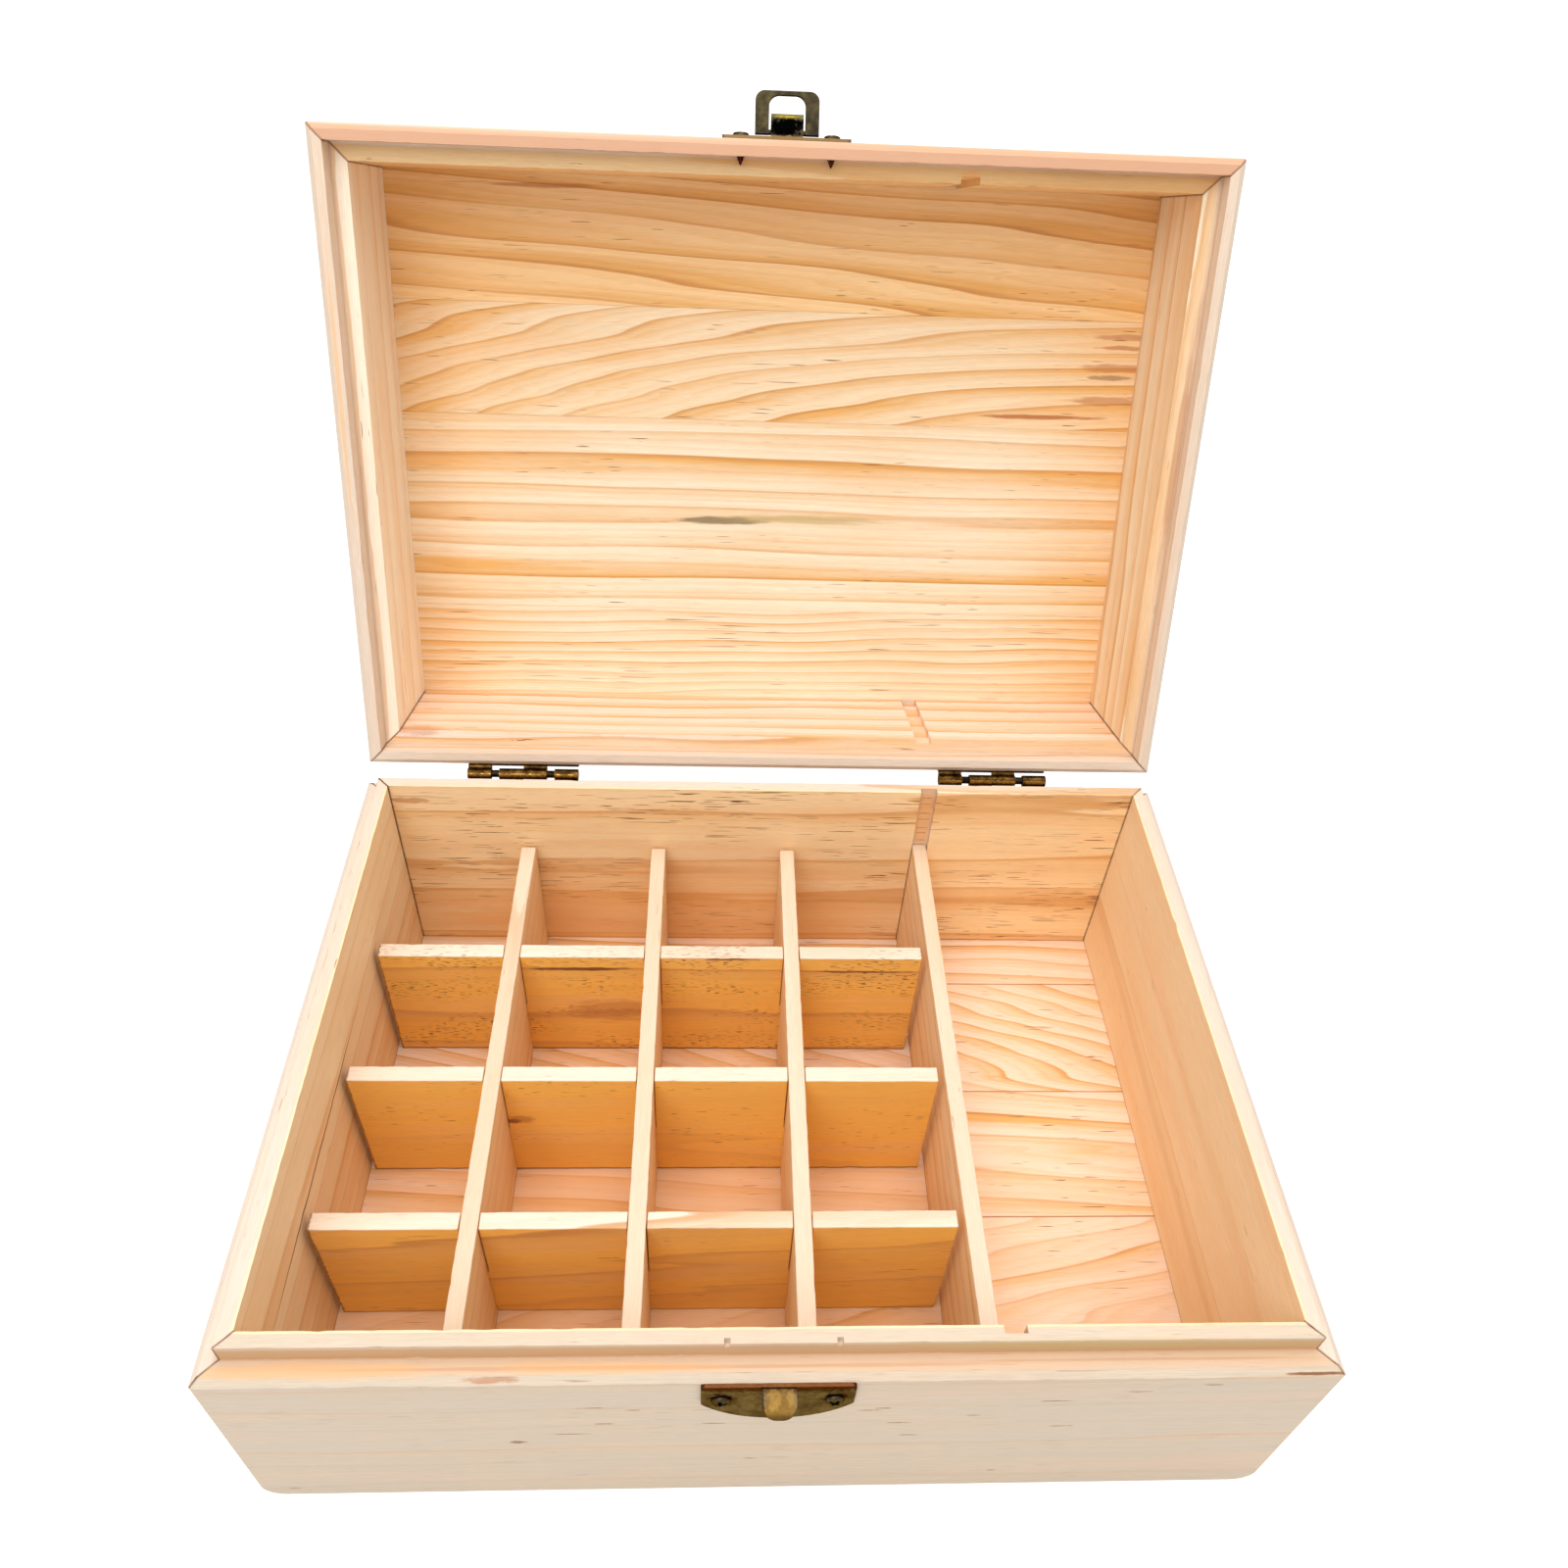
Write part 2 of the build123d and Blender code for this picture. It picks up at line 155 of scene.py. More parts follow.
def blank(name):
    """A new material with its nodes, as a Tone to add to, and its output node."""
    material = bpy.data.materials.new(name)
    material.use_nodes = True
    material.node_tree.nodes.clear()
    output = material.node_tree.nodes.new("ShaderNodeOutputMaterial")
    return material, Tone(material.node_tree), output


def looked_at(shade):
    """1 for what is looked at, straight or in a mirror or glass, and 0 for what only lights."""
    seen = shade.node("LightPath")
    for ray in ("Is Glossy Ray", "Is Transmission Ray"):
        seen = seen.math("MAXIMUM", seen, shade.node("LightPath", output=ray))
    return seen


def finished(bm, name):
    """The worked mesh as one of the file's own."""
    mesh = bpy.data.meshes.new(name)
    bm.to_mesh(mesh)
    bm.free()
    return mesh


material, shade, output = blank("white_sheet")
paper = shade.node("BsdfDiffuse", sockets={"Color": SHEET_WHITE})
glow = shade.node("Emission", sockets={"Color": WHITE, "Strength": SHEET_LIFT * looked_at(shade)})
paper = shade.node("AddShader", sockets={0: paper, 1: glow})
shade.tree.links.new(paper.socket, output.inputs["Surface"])

bm = bmesh.new()
bmesh.ops.create_circle(bm, cap_ends=True, segments=SHEET_SIDES, radius=SHEET_RADIUS)
mesh = finished(bm, "white_sheet")
mesh.materials.append(material)
sheet = bpy.data.objects.new("white_sheet", mesh)
bpy.context.scene.collection.objects.link(sheet)

world = bpy.data.worlds.new("plain_room")
world.use_nodes = True
world.node_tree.nodes.clear()
sky = Tone(world.node_tree)
brightness = looked_at(sky) * (1 - SKY) + SKY
room = sky.node("Background", sockets={"Color": WHITE, "Strength": brightness})
surface = world.node_tree.nodes.new("ShaderNodeOutputWorld").inputs["Surface"]
world.node_tree.links.new(room.socket, surface)
bpy.context.scene.world = world

for name, lamp in (("overhead_light", OVERHEAD), ("front_light", FRONT)):
    light = bpy.data.lights.new(name, "AREA")
    light.size = lamp["side"]
    light.energy = lamp["watts"]
    holder = bpy.data.objects.new(name, light)
    holder.location = lamp["place"]
    holder.rotation_euler = (-holder.location).to_track_quat("-Z", "Y").to_euler()
    bpy.context.scene.collection.objects.link(holder)


# Base walls
# Four planed pine boards, 8.5 mm thick, mitred and glued at the corners. The grain runs round
# the box, the inside is deeper and oranger than the outside, partly the wood's own tone and
# partly painted shade, and the sharp edges are lightly broken.
WELD = 1e-6
FLAT = math.radians(0.5)
EASE = 0.35
EASE_TURN = 30
RAGGED = 0.22
RAGGED_STEP = 1.8
RAGGED_TURN = 0.3
COARSE_WAVE = 260
FINE_WAVE = 900
ALONG = {"x": Vector((1, 0, 0)), "y": Vector((0, 1, 0))}
PINE_PALE = (0.79, 0.65, 0.53, 1)
PINE_BAND = (0.74, 0.50, 0.29, 1)
# Tones of the box's hollow: partly the wood's own mellower tone, partly painted shade
PINE_MELLOW_SHADED = (0.96, 0.73, 0.47, 1)
PINE_MELLOW_SHADED_BAND = (0.82, 0.44, 0.13, 1)
# Dark of the flecks, also used for painted shade at the cross boards' left ends
PINE_FLECK_AND_SHADE = (0.22, 0.08, 0.025, 1)
PINE_LINE = (0.62, 0.27, 0.07, 1)
PINE_BLUSH = (0.82, 0.56, 0.40, 1)
PINE_MELLOW_SHADED_BLUSH = (0.92, 0.55, 0.28, 1)
# The front wall's outside: greyer and darker than PINE_PALE, partly painted shade of the front
# face
PINE_GREY_SHADED = (0.68, 0.56, 0.43, 1)
STAIN_AMBER = (0.86, 0.46, 0.16, 1)
STAIN_OLIVE = (0.56, 0.42, 0.17, 1)
# Red-brown of real stains, also used for painted shade along the walls' feet
STAIN_AND_SHADE_RED = (0.50, 0.18, 0.05, 1)
STAIN_BROWN = (0.36, 0.16, 0.05, 1)
PINE_ROUGHNESS = 0.6
PINE_RELIEF = 0.12


def cleaned(node):
    """The CAD piece's mesh with its points welded and its flat faces made whole."""
    bm = bmesh.new()
    bm.from_mesh(nodes[node].data)
    bmesh.ops.remove_doubles(bm, verts=bm.verts, dist=WELD)
    bmesh.ops.dissolve_limit(bm, angle_limit=FLAT, verts=bm.verts, edges=bm.edges)
    return bm


def eased(bm, turn, ease, segments):
    """Rounds the edges that turn by more than so many degrees and returns the new points."""
    sharp = [edge for edge in bm.edges if edge.calc_face_angle(0) > math.radians(turn)]
    return bmesh.ops.bevel(
        bm, geom=sharp, offset=ease / 1000, offset_type="OFFSET", segments=segments, profile=0.5,
        affect="EDGES", clamp_overlap=True, material=-1,
    )["verts"]


def smoothed(bm, crease=45):
    """Shades the faces smooth up to the edges that turn by more than so many degrees."""
    for face in bm.faces:
        face.smooth = True
    for edge in bm.edges:
        edge.smooth = edge.calc_face_angle(0) < math.radians(crease)


def dressed(node, mesh, material):
    """Makes a piece of the mesh and stands it in for its CAD node."""
    mesh.materials.append(material)
    piece = bpy.data.objects.new(mesh.name, mesh)
    bpy.context.scene.collection.objects.link(piece)
    piece.modifiers.new("even_normals", "WEIGHTED_NORMAL").keep_sharp = True
    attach(piece, body_of[node])
    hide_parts(node)


def board(node, along, material, ease=EASE, ragged=RAGGED):
    """A CAD board with its edges broken, a little unevenly along its length."""
    bm = cleaned(node)
    eased(bm, EASE_TURN, ease, 2)
    low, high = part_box(node)
    direction = ALONG[along]
    for i in range(1, int((high - low) @ direction * 1000 / RAGGED_STEP)):
        bmesh.ops.bisect_plane(
            bm, geom=[*bm.verts, *bm.edges, *bm.faces], dist=WELD / 10,
            plane_co=low + direction * i * RAGGED_STEP / 1000, plane_no=direction,
        )
    bm.normal_update()
    for vert in bm.verts:
        if max((edge.calc_face_angle(0) for edge in vert.link_edges), default=0) > RAGGED_TURN:
            wave = noise.noise(vert.co * COARSE_WAVE) + 0.6 * noise.noise(vert.co * FINE_WAVE)
            vert.co -= vert.normal * max(wave, 0) * ragged / 1000
    smoothed(bm)
    dressed(node, finished(bm, node + "_planed"), material)


def shut_place(shade, opened):
    """Object coordinates, turned back to the shut box and made millimetres."""
    return shade.node("Mapping", {"vector_type": "TEXTURE"}, {
        "Vector": shade.node("TexCoord", output="Object"),
        "Location": opened.to_translation(), "Rotation": opened.to_euler(),
        "Scale": (0.001, 0.001, 0.001),
    })


def marked(colour, point, marks, frayed):
    """Lays marks over a colour. Each has its centre, its reach, its colour and its depth."""
    for centre, reach, hue, depth in marks:
        away = point.vector("DIVIDE", point.vector("SUBTRACT", point, centre), reach)
        near = 1 - (point.vector("LENGTH", away, output="Value") + frayed(reach))
        colour = (near.between(0.0, 0.5) * depth).mix(colour, hue)
    return colour


# In millimetres: the hollow of the shut box and how softly its deeper tone, partly painted
# shade, ends, a pith far beside a board, a reach that takes in a whole board, how much farther
# the mitres lie from the middle in x than in y, and where the painted shade towards the ends
# of a board begins and is full
INSIDE = ((-111.9, -78.9, 2), (111.9, 78.9, 112))
SOFTNESS = 0.3
FAR = 400
WHOLE = 900
CORNER = 33.0
BOARD_END = (62.0, 114.0)
# Sizes of the wood's figures in millimetres: along the grain, across it and through it
DRIFT = (95, 30, 30)
YEAR_WIDTH = (400, 9, 9)
YEAR_STRENGTH = (70, 6, 6)
MINOR_WIDTH = (160, 4, 4)
FIBRE = (26, 0.55, 0.55)
FINE = (5, 0.16, 0.16)
CLOUD = (60, 22, 22)
BUNCH = (34, 11, 11)
BLUSH = (85, 9, 9)
GLUE = (9, 2, 2)
FLECK_WIDTH = 0.36
FRAY_WIDTH = 1.1
# Shares of a year: its late wood begins, its dark line begins and is full, it ends
LATE_WOOD = 0.15
DARK_LINE = (0.84, 0.95)
YEAR_END = 0.965


def pine(
    name, along, across, pith, lean, ring, wave=3, contrast=0.8, flecks=0.3, dash=9, seed=0,
    opened=Matrix.Identity(4), hollow=INSIDE, pale=PINE_PALE, mellow_shaded=PINE_MELLOW_SHADED, end_shade=0.0,
    joint=None, marks=(),
):
    """Pine with year rings round a pith: millimetres, in the shut box.

    along and across name the axes of the grain and of the board's face. pith is the pith's
    place across and through the board, and lean its slope along the grain. ring is a year's
    width and wave how far the rings wander. pale is the tone of the outside and the second tone
    that of the hollow, partly the wood's own and partly painted shade. A strength for the
    board's ends paints shade towards them. Each mark is a stain, streak, knot, painted shade or
    painted highlight: its centre, its reach, its colour and how strong it is."""
    material, shade, output = blank(name)
    point = shut_place(shade, opened)
    axes = {
        axis: shade.node("SeparateXYZ", sockets={0: point}, output=axis.upper()) for axis in "xyz"
    }
    through = ({"x", "y", "z"} - {along, across}).pop()
    a, b, t = axes[along], axes[across], axes[through]
    grain = shade.node("CombineXYZ", sockets={0: a, 1: b, 2: t})

    def figure(stretch, detail=2, output="Fac"):
        """Noise drawn out along the grain, by sizes along it, across it and through it."""
        spread = shade.vector("MULTIPLY", grain, tuple(1 / size for size in stretch))
        spread = shade.vector("ADD", spread, (seed * 7.3, seed * 3.1, seed * 5.7))
        sockets = {"Vector": spread, "Scale": 1.0, "Detail": detail}
        return shade.node("TexNoise", sockets=sockets, output=output)

    drift = figure(DRIFT, 1, "Color")
    drift_b = shade.node("SeparateColor", sockets={0: drift}, output="Red") - 0.5
    drift_t = shade.node("SeparateColor", sockets={0: drift}, output="Green") - 0.5
    off_b = b - pith[0] - a * lean[0] + drift_b * wave * 2
    off_t = t - pith[1] - a * lean[1] + drift_t * wave * 2
    away = shade.node("CombineXYZ", sockets={0: off_b, 1: off_t})
    radius = shade.vector("LENGTH", away, output="Value")
    year = radius / ring + figure(YEAR_WIDTH, 1) * 1.2
    part = shade.math("FRACT", year)
    count = {"W": shade.math("FLOOR", year) + seed}
    strength = shade.node("TexWhiteNoise", {"noise_dimensions": "1D"}, count, "Value")
    strength = (strength * 0.65 + 0.35) * (figure(YEAR_STRENGTH, 1) + 0.45)
    # Late wood deepens through the year and ends at a thin dark line
    over = part.between(YEAR_END, 1.0)
    late = part.between(LATE_WOOD, 1.0) * (1 - over) * strength * contrast
    line = part.between(*DARK_LINE) * (1 - over) * strength * contrast
    minor = shade.math("FRACT", year * 3.1 + figure(MINOR_WIDTH, 1) * 1.5)
    minor = minor.between(0.2, 0.93) * (1 - minor.between(0.93, 1.0)) * contrast * 0.2
    # The hollow that the boards enclose gets a deeper tone than the outside and the rims: partly
    # the wood's own mellower tone, partly painted shade
    inner = 1.0
    for axis, low, high in zip("xyz", *hollow):
        beyond = axes[axis].between(high, high + SOFTNESS)
        inner = axes[axis].between(low - SOFTNESS, low) * (1 - beyond) * inner
    fibre = figure(FIBRE, 3)
    fine = figure(FINE, 2)
    cloud = figure(CLOUD, 2)
    bunch = figure(BUNCH, 1).between(0.42, 0.62)
    rare = 0.80 - 0.06 * flecks
    fleck = figure((dash, FLECK_WIDTH, FLECK_WIDTH), 0).between(rare, rare + 0.06) * bunch
    fleck = fleck * (inner * 0.55 + 0.45)

    # Painted shade: the tone deepens towards the ends of a board, by the walls
    near_end = shade.math("ABSOLUTE", a).between(*BOARD_END) * end_shade
    tone = late + minor + (fibre - 0.5) * 0.7 + (cloud - 0.5) * 0.5 + near_end
    tone = shade.math("MAXIMUM", tone, 0.0)
    colour = tone.mix(inner.mix(pale, mellow_shaded), inner.mix(PINE_BAND, PINE_MELLOW_SHADED_BAND))
    blush = figure(BLUSH, 1).between(0.5, 0.75) * 0.3
    colour = blush.mix(colour, inner.mix(PINE_BLUSH, PINE_MELLOW_SHADED_BLUSH))
    colour = (line * 0.75).mix(colour, PINE_LINE)
    light = 0.98 + (fine - 0.5) * 0.34 + (fibre - 0.5) * 0.2
    colour = shade.node("VectorMath", {"operation": "SCALE"}, {0: colour, 3: light})
    colour = fleck.mix(colour, PINE_FLECK_AND_SHADE)

    def frayed(reach):
        return (figure((max(reach) * 0.4, FRAY_WIDTH, FRAY_WIDTH), 3) - 0.5) * 1.1

    colour = marked(colour, point, marks, frayed)
    if joint is not None:
        # Glue and dust darken the mitres, where x and y are equally far from their faces
        off = shade.math("ABSOLUTE", axes["x"]) - shade.math("ABSOLUTE", axes["y"]) - joint
        seam = 1 - shade.math("ABSOLUTE", off).between(0.15, 0.6)
        colour = (seam * (figure(GLUE, 2) * 0.9 + 0.25)).mix(colour, PINE_FLECK_AND_SHADE)
    skin = shade.node("BsdfPrincipled", sockets={
        "Base Color": colour,
        "Roughness": PINE_ROUGHNESS - late * 0.12 + (fine - 0.5) * 0.1,
        "Specular IOR Level": 0.35,
        "Normal": shade.node("Bump", sockets={
            "Strength": 0.5, "Distance": PINE_RELIEF / 1000,
            "Height": fibre * 0.6 + fine * 0.4 - late * 0.3 - fleck,
        }),
    })
    shade.tree.links.new(skin.socket, output.inputs["Surface"])
    return material


INNER_X = 111.5
INNER_Y = 78.5
FRONT_FACE = -87
LEDGE = 68.5
GROOVE_X = 49.2
LIP_BROWN = (0.60, 0.34, 0.16, 1)
LEDGE_TAN = (0.72, 0.47, 0.29, 1)
# Amber over the lower middle of the back wall's inner face
LOW_AMBER = (0.95, 0.50, 0.16, 1)
# Short dark pores of the front face: x, z and half their length
FRONT_PORES = (
    (-112, 4.8, 2.0), (-44.8, 38.6, 5.0), (-39.5, 54.0, 3.5), (-37.3, 44.6, 3.0),
    (-30.9, 52.5, 2.5), (-13.5, 44.1, 3.5), (-5.1, 21.3, 2.0), (19.7, 50.8, 3.0),
    (22.7, 51.9, 3.0), (26.8, 43.1, 3.5), (30.1, 35.3, 3.0), (43.2, 47.0, 2.0),
    (53.2, 10.4, 1.6), (60.2, 54.9, 5.0), (63.9, 39.7, 4.0), (77.0, 59.7, 3.5),
    (92.7, 63.1, 3.0),
)
SAW_MARKS = (51.5, 54.8, 57.1, 60.9, 63.6, 67.7, 70.2)


def foot_shade_line(x, y):
    """Painted shade: a dark line along the foot of the wall whose inner face is at x or at y."""
    return (x, y, 3.4), (1.5 if x else WHOLE, 1.5 if y else WHOLE, 0.9), STAIN_AND_SHADE_RED, 0.7


board("base_front_wall", "x", pine(
    "base_front_pine", "x", "z", pith=(-FAR, 300), lean=(0.015, 0.01), ring=9, contrast=0.35,
    flecks=0.9, seed=1, pale=PINE_GREY_SHADED, joint=CORNER, marks=(
        foot_shade_line(0, -INNER_Y),
        ((0, -81.9, 71.0), (WHOLE, 0.6, 3.6), LIP_BROWN, 0.85),
        ((0, -83.8, LEDGE), (WHOLE, 2.2, 0.9), LEDGE_TAN, 0.6),
        ((-18, -84.2, LEDGE), (90, 0.5, 0.9), STAIN_AND_SHADE_RED, 0.3),
        ((75, -83.6, LEDGE), (50, 0.4, 0.9), STAIN_AND_SHADE_RED, 0.3),
        ((-95, -84.4, LEDGE), (34, 2.2, 1.5), STAIN_AMBER, 0.4),
        ((-40, -84.0, LEDGE), (30, 1.6, 1.5), STAIN_AMBER, 0.35),
        ((70, -81.9, 72), (60, 1.2, 3.5), STAIN_OLIVE, 0.45),
        ((-57.1, FRONT_FACE, 34), (2.4, 3, 1.0), PINE_FLECK_AND_SHADE, 0.8),
        *(
            ((x, FRONT_FACE, z), (half, 3, 0.42), STAIN_BROWN, 0.75)
            for x, z, half in FRONT_PORES
        ),
        ((114, -86.4, 67.4), (9, 2, 0.35), PINE_FLECK_AND_SHADE, 0.9),
        ((-60, -86.5, 67.8), (7, 2, 0.7), STAIN_AND_SHADE_RED, 0.6),
    ),
))
board("base_back_wall", "x", pine(
    "base_back_pine", "x", "z", pith=(-FAR, 60), lean=(0.015, 0.0), ring=21, wave=7,
    contrast=0.85, flecks=1.8, seed=2, mellow_shaded=(1.0, 0.76, 0.45, 1), joint=CORNER, marks=(
        foot_shade_line(0, INNER_Y),
        ((-30, INNER_Y, 12), (85, 3, 30), LOW_AMBER, 0.5),
        ((GROOVE_X, 80.6, 60), (3.4, 1.4, 19), STAIN_AMBER, 0.7),
        *(((GROOVE_X, 80.6, z), (2.6, 1.2, 0.35), STAIN_AND_SHADE_RED, 0.6) for z in SAW_MARKS),
        ((-106, INNER_Y, 68.2), (7, 2, 1.6), STAIN_AND_SHADE_RED, 0.6),
        ((109, INNER_Y, 71), (4, 2, 0.4), PINE_FLECK_AND_SHADE, 0.9),
    ),
))
board("base_left_wall", "y", pine(
    "base_left_pine", "y", "z", pith=(-FAR, -10), lean=(-0.02, 0.0), ring=11, contrast=0.45,
    flecks=0.1, seed=3, mellow_shaded=(0.97, 0.77, 0.50, 1), joint=CORNER, marks=(
        foot_shade_line(-INNER_X, 0),
        ((-INNER_X, -28, 50.3), (3, 56, 0.5), PINE_FLECK_AND_SHADE, 0.9),
    ),
))
board("base_right_wall", "y", pine(
    "base_right_pine", "y", "z", pith=(-FAR, 60), lean=(0.01, 0.0), ring=28, contrast=0.3,
    flecks=-0.5, seed=4, mellow_shaded=(0.96, 0.75, 0.49, 1), joint=CORNER,
    marks=(foot_shade_line(INNER_X, 0),),
))


# Floor boards
# Five pine strips glued edge to edge, with their arched grain running left to right, let
# into a seat round the bottom of the walls. Under the grid a warmer, oranger tone is painted
# as the shade and bounced light of the cells.
PINE_STRAW = (0.96, 0.74, 0.57, 1)
FLOOR_TOP = 3.5
FLOOR_EASE = 0.15
FLOOR_RAGGED = 0.05
FLOOR_JOINTS = (-60.3, -20.1, 20.1, 60.3)
# Painted shade and bounced light: the floor of the cells is warmed and darkened
GRID_SHADE_ORANGE = (1.0, 0.60, 0.27, 1)
GRID_SHADE = ((-30, -45, FLOOR_TOP), (105, 110, 9), GRID_SHADE_ORANGE, 0.5)
# Of each strip: the lean of its rings, a year's width and the contrast
FLOOR_GRAIN = (
    (0.12, 9.0, 0.6), (0.24, 7.0, 0.7), (-0.05, 8.5, 1.1), (-0.33, 6.5, 0.9), (-0.03, 5.5, 1.0),
)
glue_lines = [((0, y, FLOOR_TOP), (WHOLE, 0.3, 9), STAIN_AND_SHADE_RED, 0.75) for y in FLOOR_JOINTS]
for i, (lean, ring, contrast) in enumerate(FLOOR_GRAIN, 1):
    board(f"floor_board_{i}", "x", pine(
        f"floor_pine_{i}", "x", "y", (-FAR, 60), (lean, 0.1), ring, wave=4, contrast=contrast,
        flecks=0.7, seed=10 + i, mellow_shaded=PINE_STRAW, marks=[GRID_SHADE, *glue_lines],
    ), ease=FLOOR_EASE, ragged=FLOOR_RAGGED)


# Long divider
# A pine board that stands in the grooves of the front and back walls and lifts out. Its top
# edge is pale and its sides deeper, partly the wood and partly painted light and shade, and a
# dark line of painted shade runs along its foot.
# Pale top edges of the long and lengthwise dividers, partly painted light; below them is deeper
PINE_CREAM_LIT = (0.84, 0.66, 0.49, 1)
# Painted shade: a dark line along the foot of a board, where it meets the floor
FOOT_SHADE_BROWN = (0.30, 0.10, 0.03, 1)
BELOW_EDGE = ((-130, -90, -1), (130, 90, 49.3))
FOOT_SHADE = ((0, 0, FLOOR_TOP), (WHOLE, WHOLE, 1.1), FOOT_SHADE_BROWN, 0.9)
board("long_divider", "y", pine(
    "long_divider_pine", "y", "z", pith=(FAR, 40), lean=(0.02, 0.01), ring=8, contrast=0.7,
    flecks=0.5, seed=21, hollow=BELOW_EDGE, pale=PINE_CREAM_LIT, marks=(FOOT_SHADE,),
))


# Divider grid
# Three boards across the box, slotted from the top, and three lengthwise ones over them,
# slotted from below. They are only pushed together, and their sawn edges are fuzzy. Their top
# edges are paler than their sides, partly as painted light, a line of painted shade runs along
# their feet, and the cross boards' left ends carry painted shade.
PINE_AMBER = (1.0, 0.57, 0.12, 1)
# Pale top edges of the cross boards, partly painted light
PINE_SAWN_LIT = (0.90, 0.76, 0.62, 1)
PINE_HONEY = (0.93, 0.66, 0.38, 1)
# Painted shade: the dark gap at each cross board's left end, by the wall
LEFT_END_SHADE = ((-110.3, 0, 26), (0.9, WHOLE, WHOLE), PINE_FLECK_AND_SHADE, 0.8)
MIDDLE_FACE = -5.2
BACK_FACE = 35
crossing = dict(hollow=BELOW_EDGE, pale=PINE_SAWN_LIT, mellow_shaded=PINE_AMBER)
board("cross_divider_1", "x", pine(
    "cross_divider_pine_1", "x", "z", pith=(-FAR, -20), lean=(0.137, 0.0), ring=18.7, wave=2,
    contrast=0.9, flecks=0.6, seed=38, marks=(FOOT_SHADE, LEFT_END_SHADE), **crossing,
))
board("cross_divider_2", "x", pine(
    "cross_divider_pine_2", "x", "z", pith=(-30, 60), lean=(0.2, 0.3), ring=24, contrast=0.4,
    flecks=0.9, dash=4, seed=36, marks=(
        FOOT_SHADE, LEFT_END_SHADE,
        ((-68.6, MIDDLE_FACE, 29.7), (2.2, 3, 1.4), PINE_FLECK_AND_SHADE, 1.0),
        ((-66.5, MIDDLE_FACE, 30.5), (5, 3, 2.6), STAIN_AND_SHADE_RED, 0.6),
    ), **crossing,
))
board("cross_divider_3", "x", pine(
    "cross_divider_pine_3", "x", "z", pith=(-FAR, 5), lean=(-0.03, 0.1), ring=19, wave=7,
    contrast=0.9, flecks=2.6, dash=2.4, seed=31, marks=(
        FOOT_SHADE, LEFT_END_SHADE,
        ((-53, BACK_FACE, 44.2), (20, 3, 0.9), PINE_FLECK_AND_SHADE, 1.0),
        ((26, BACK_FACE, 43.5), (21, 3, 0.5), PINE_FLECK_AND_SHADE, 0.9),
        ((-9, BACK_FACE, 49.0), (11, 3, 0.5), PINE_FLECK_AND_SHADE, 0.8),
        ((-46, BACK_FACE, 24), (16, 3, 7), STAIN_AND_SHADE_RED, 0.55),
    ), **crossing,
))
for i in range(1, 4):
    board(f"lengthwise_divider_{i}", "y", pine(
        f"lengthwise_divider_pine_{i}", "y", "z", pith=(FAR, -30), lean=(0.03, 0.0), ring=9,
        contrast=0.5, flecks=0.0, seed=40 + i, hollow=BELOW_EDGE, pale=PINE_CREAM_LIT,
        mellow_shaded=PINE_HONEY, marks=(FOOT_SHADE,),
    ))


# Hinges
# Each is two stamped leaves with rolled knuckles on a steel pin, finished in antique bronze:
# dark brown in the hollows and rubbed back to brass along the edges, with a painted brass
# highlight along the front of the knuckles. The pins' near black is partly painted shade.
LEAF_EASE = 0.12
LEAF_TURN = 35
BRONZE_DARK = (0.014, 0.006, 0.002, 1)
BRONZE_BROWN = (0.060, 0.026, 0.007, 1)
BRONZE_RUBBED = (0.14, 0.075, 0.018, 1)
# Colour of the painted highlight along the knuckles
BRASS_HIGHLIGHT = (0.52, 0.32, 0.075, 1)
STEEL_DARK = (0.012, 0.008, 0.005, 1)
STEEL_RUBBED = (0.04, 0.028, 0.016, 1)
# Black of painted shade: in sunk parts, above the keeper's screw heads and on the pins
SHADE_BLACK = (0.003, 0.002, 0.002, 1)
PATINA_SHEEN = (0.55, 0.42, 0.25, 1)
PATINA_RELIEF = 0.04
CLOUD_SIZE = 3.2
SCRATCH_SIZE = 1.1
SPECK_SIZE = 0.5


def struck(node, material):
    """A CAD plate with its edges rounded; "worn" is 1 on the rounded edges."""
    bm = cleaned(node)
    worn = bm.verts.layers.float.new("worn")
    for vert in eased(bm, LEAF_TURN, LEAF_EASE, 3):
        vert[worn] = 1
    smoothed(bm)
    dressed(node, finished(bm, node + "_struck"), material)


